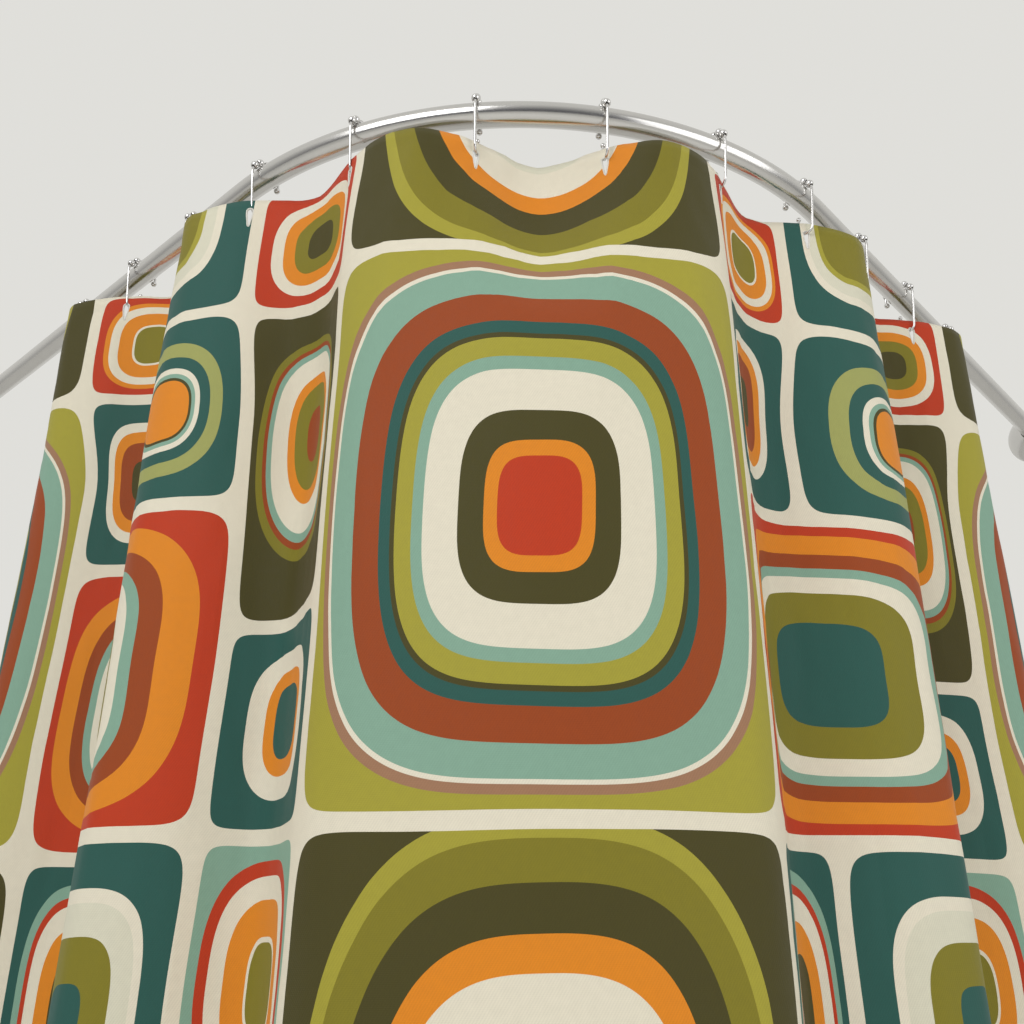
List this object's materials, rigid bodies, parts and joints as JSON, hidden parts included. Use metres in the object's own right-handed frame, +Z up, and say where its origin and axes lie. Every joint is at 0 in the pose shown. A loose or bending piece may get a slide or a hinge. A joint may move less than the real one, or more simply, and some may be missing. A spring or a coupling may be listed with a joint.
{
  "type": "shower curtain",
  "caption": "Printed cloth shower curtain hung in folds from chrome roller hooks that slide along a right-angled corner rod with a large-radius bend.",
  "frame": {"origin": "centre of the left wall plate's back face, on the rod's centreline", "axes": "+Z up; the bend's nose, the front, points to -Y; +X runs from the left wall plate to the right one"},
  "size_m": [1.6866, 0.6836, 1.96],
  "materials": {
    "rod_chrome": "polished",
    "fitting_chrome": "polished",
    "screw_steel": "plain",
    "hook_chrome": "polished wire",
    "roller_chrome": "polished",
    "printed_cloth": "woven polyester with a printed front",
    "hem_cloth": "unprinted side of the same cloth",
    "stitching_thread": "sewn buttonhole thread"
  },
  "bodies": {
    "rod_and_curtain": {"rod": "rod_chrome", "wall_plate_left": "fitting_chrome", "flange_cover_left": "fitting_chrome", "wall_screws_left": "screw_steel", "set_screw_left": "screw_steel", "wall_plate_right": "fitting_chrome", "flange_cover_right": "fitting_chrome", "wall_screws_right": "screw_steel", "set_screw_right": "screw_steel", "curtain_cloth": "printed_cloth", "top_hem": "hem_cloth", "bottom_hem": "hem_cloth", "side_hem_left": "hem_cloth", "side_hem_right": "hem_cloth", "buttonhole_stitching": "stitching_thread", "hook_wire_05": "hook_chrome", "side_rollers_05": "roller_chrome", "hook_wire_06": "hook_chrome", "side_rollers_06": "roller_chrome", "hook_wire_07": "hook_chrome", "side_rollers_07": "roller_chrome", "hook_wire_08": "hook_chrome", "side_rollers_08": "roller_chrome"},
    "hook_01": {"hook_wire_01": "hook_chrome", "side_rollers_01": "roller_chrome"},
    "roller_01": {"top_roller_01": "roller_chrome"},
    "hook_02": {"hook_wire_02": "hook_chrome", "side_rollers_02": "roller_chrome"},
    "roller_02": {"top_roller_02": "roller_chrome"},
    "hook_03": {"hook_wire_03": "hook_chrome", "side_rollers_03": "roller_chrome"},
    "roller_03": {"top_roller_03": "roller_chrome"},
    "hook_04": {"hook_wire_04": "hook_chrome", "side_rollers_04": "roller_chrome"},
    "roller_04": {"top_roller_04": "roller_chrome"},
    "roller_05": {"top_roller_05": "roller_chrome"},
    "roller_06": {"top_roller_06": "roller_chrome"},
    "roller_07": {"top_roller_07": "roller_chrome"},
    "roller_08": {"top_roller_08": "roller_chrome"},
    "hook_09": {"hook_wire_09": "hook_chrome", "side_rollers_09": "roller_chrome"},
    "roller_09": {"top_roller_09": "roller_chrome"},
    "hook_10": {"hook_wire_10": "hook_chrome", "side_rollers_10": "roller_chrome"},
    "roller_10": {"top_roller_10": "roller_chrome"},
    "hook_11": {"hook_wire_11": "hook_chrome", "side_rollers_11": "roller_chrome"},
    "roller_11": {"top_roller_11": "roller_chrome"},
    "hook_12": {"hook_wire_12": "hook_chrome", "side_rollers_12": "roller_chrome"},
    "roller_12": {"top_roller_12": "roller_chrome"}
  },
  "joints": [
    {"name": "draw_left", "type": "slide", "parent": "rod_and_curtain", "child": "hook_01", "axis": [0.7071, -0.7071, 0], "range_m": [-0.03, 0.22], "deforming": ["curtain_cloth", "top_hem", "bottom_hem", "side_hem_left", "side_hem_right", "buttonhole_stitching"]},
    {"name": "hook_02_follow", "type": "slide", "parent": "rod_and_curtain", "child": "hook_02", "axis": [0.7071, -0.7071, 0], "range_m": [-0.02405, 0.17634]},
    {"name": "hook_03_follow", "type": "slide", "parent": "rod_and_curtain", "child": "hook_03", "axis": [0.7071, -0.7071, 0], "range_m": [-0.0109, 0.07993]},
    {"name": "hook_04_follow", "type": "hinge", "parent": "rod_and_curtain", "child": "hook_04", "pos_m": [0.8061, -0.18385, 0], "axis": [0, 0, 1], "range_deg": [-0.12, 0.9]},
    {"name": "draw_right", "type": "slide", "parent": "rod_and_curtain", "child": "hook_12", "axis": [-0.7071, -0.7071, 0], "range_m": [-0.03, 0.22], "deforming": ["curtain_cloth", "top_hem", "bottom_hem", "side_hem_left", "side_hem_right", "buttonhole_stitching"]},
    {"name": "hook_11_follow", "type": "slide", "parent": "rod_and_curtain", "child": "hook_11", "axis": [-0.7071, -0.7071, 0], "range_m": [-0.02405, 0.17634]},
    {"name": "hook_10_follow", "type": "slide", "parent": "rod_and_curtain", "child": "hook_10", "axis": [-0.7071, -0.7071, 0], "range_m": [-0.0109, 0.07993]},
    {"name": "hook_09_follow", "type": "hinge", "parent": "rod_and_curtain", "child": "hook_09", "pos_m": [0.8061, -0.18385, 0], "axis": [0, 0, 1], "range_deg": [-0.9, 0.12]},
    {"name": "roll_01", "type": "hinge", "parent": "hook_01", "child": "roller_01", "pos_m": [0.25903, -0.25903, 0.01715], "axis": [-0.7071, -0.7071, 0], "continuous": true},
    {"name": "roll_02", "type": "hinge", "parent": "hook_02", "child": "roller_02", "pos_m": [0.34636, -0.34636, 0.01715], "axis": [-0.7071, -0.7071, 0], "continuous": true},
    {"name": "roll_03", "type": "hinge", "parent": "hook_03", "child": "roller_03", "pos_m": [0.43369, -0.43369, 0.01715], "axis": [-0.7071, -0.7071, 0], "continuous": true},
    {"name": "roll_04", "type": "hinge", "parent": "hook_04", "child": "roller_04", "pos_m": [0.52207, -0.51989, 0.01715], "axis": [-0.6455, -0.7637, 0], "continuous": true},
    {"name": "roll_05", "type": "hinge", "parent": "rod_and_curtain", "child": "roller_05", "pos_m": [0.62628, -0.58542, 0.01715], "axis": [-0.4087, -0.9127, 0], "continuous": true},
    {"name": "roll_06", "type": "hinge", "parent": "rod_and_curtain", "child": "roller_06", "pos_m": [0.74455, -0.61952, 0.01715], "axis": [-0.1399, -0.9902, 0], "continuous": true},
    {"name": "roll_07", "type": "hinge", "parent": "rod_and_curtain", "child": "roller_07", "pos_m": [0.86765, -0.61952, 0.01715], "axis": [0.1399, -0.9902, 0], "continuous": true},
    {"name": "roll_08", "type": "hinge", "parent": "rod_and_curtain", "child": "roller_08", "pos_m": [0.98593, -0.58542, 0.01715], "axis": [0.4087, -0.9127, 0], "continuous": true},
    {"name": "roll_09", "type": "hinge", "parent": "hook_09", "child": "roller_09", "pos_m": [1.09013, -0.51989, 0.01715], "axis": [0.6455, -0.7637, 0], "continuous": true},
    {"name": "roll_10", "type": "hinge", "parent": "hook_10", "child": "roller_10", "pos_m": [1.17852, -0.43369, 0.01715], "axis": [0.7071, -0.7071, 0], "continuous": true},
    {"name": "roll_11", "type": "hinge", "parent": "hook_11", "child": "roller_11", "pos_m": [1.26584, -0.34636, 0.01715], "axis": [0.7071, -0.7071, 0], "continuous": true},
    {"name": "roll_12", "type": "hinge", "parent": "hook_12", "child": "roller_12", "pos_m": [1.35317, -0.25903, 0.01715], "axis": [0.7071, -0.7071, 0], "continuous": true}
  ],
  "couplings": [
    {"joint": "hook_02_follow", "follows": "draw_left", "ratio": 0.78583},
    {"joint": "hook_03_follow", "follows": "draw_left", "ratio": 0.3562},
    {"joint": "hook_04_follow", "follows": "draw_left", "rad_per_m": 0.069235},
    {"joint": "hook_11_follow", "follows": "draw_right", "ratio": 0.78583},
    {"joint": "hook_10_follow", "follows": "draw_right", "ratio": 0.3562},
    {"joint": "hook_09_follow", "follows": "draw_right", "rad_per_m": -0.069235}
  ]
}
